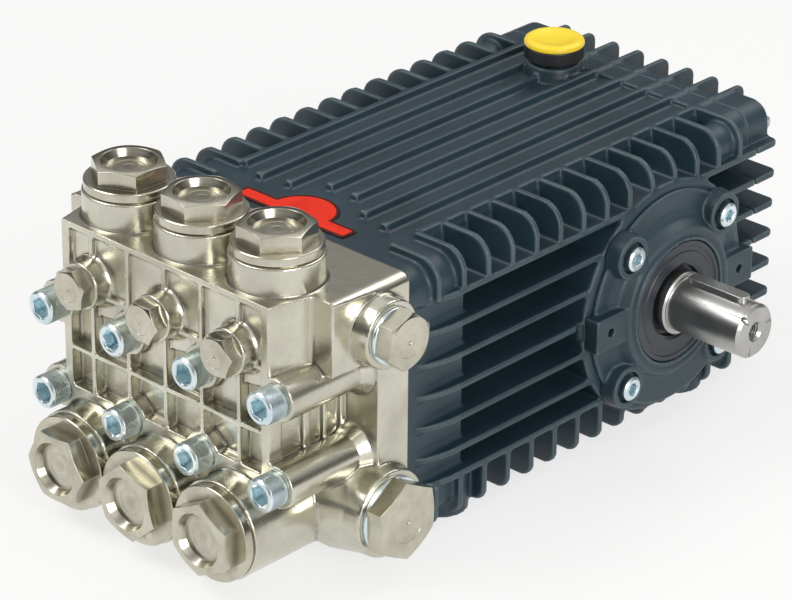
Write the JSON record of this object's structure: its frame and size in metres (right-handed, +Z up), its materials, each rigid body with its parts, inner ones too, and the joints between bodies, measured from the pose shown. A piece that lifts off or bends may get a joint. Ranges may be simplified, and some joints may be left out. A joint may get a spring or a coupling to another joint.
{
  "type": "triplex plunger pump",
  "caption": "High-pressure plunger pump: finned dark crankcase, keyed drive shaft and plated cylinder head with hexagon valve caps and plugged side ports.",
  "frame": {"origin": "on the floor, at the centre of the four threaded foot holes", "axes": "+X along the crankshaft towards its driven end, +Y along the plungers away from the pump head, +Z up"},
  "size_m": [0.2684, 0.4142, 0.1857],
  "materials": {
    "cast_paint": "satin slate paint over cast aluminium",
    "turned_steel": "bright turned steel",
    "key_steel": "ground steel",
    "seal_rubber": "smooth black seal",
    "plated_casting": "satin nickel plating on a cast block",
    "plated_caps": "nickel plating on machined caps and plugs",
    "zinc_steel": "bright zinc plating",
    "black_plastic": "moulded, matt",
    "yellow_plastic": "moulded, satin",
    "oil_window": "clear window with oil behind it"
  },
  "bodies": {
    "pump": {"crankcase": "cast_paint", "rear_cover": "cast_paint", "drive_bearing_cover": "cast_paint", "blind_bearing_cover": "cast_paint", "shaft_seal": "seal_rubber", "head_block": "plated_casting", "discharge_cap_left": "plated_caps", "discharge_cap_middle": "plated_caps", "discharge_cap_right": "plated_caps", "suction_cap_left": "plated_caps", "suction_cap_middle": "plated_caps", "suction_cap_right": "plated_caps", "middle_plug_left": "plated_caps", "middle_plug_middle": "plated_caps", "middle_plug_right": "plated_caps", "outlet_plug": "plated_caps", "outlet_washer": "zinc_steel", "inlet_plug": "plated_caps", "inlet_washer": "zinc_steel", "head_screw_top_1": "zinc_steel", "head_screw_top_2": "zinc_steel", "head_screw_top_3": "zinc_steel", "head_screw_top_4": "zinc_steel", "head_screw_low_1": "zinc_steel", "head_screw_low_2": "zinc_steel", "head_screw_low_3": "zinc_steel", "head_screw_low_4": "zinc_steel", "drive_cover_screws": "zinc_steel", "blind_cover_screws": "zinc_steel", "rear_cover_screws": "zinc_steel", "filler_neck": "black_plastic", "filler_cap": "yellow_plastic", "sight_glass": "oil_window", "sight_glass_ring": "zinc_steel", "drain_plug": "zinc_steel"},
    "crankshaft": {"drive_shaft": "turned_steel", "shaft_key": "key_steel"}
  },
  "joints": [
    {"name": "crankshaft_spin", "type": "hinge", "parent": "pump", "child": "crankshaft", "pos_m": [0.107, 0.056, 0.074], "axis": [1, 0, 0], "continuous": true}
  ]
}
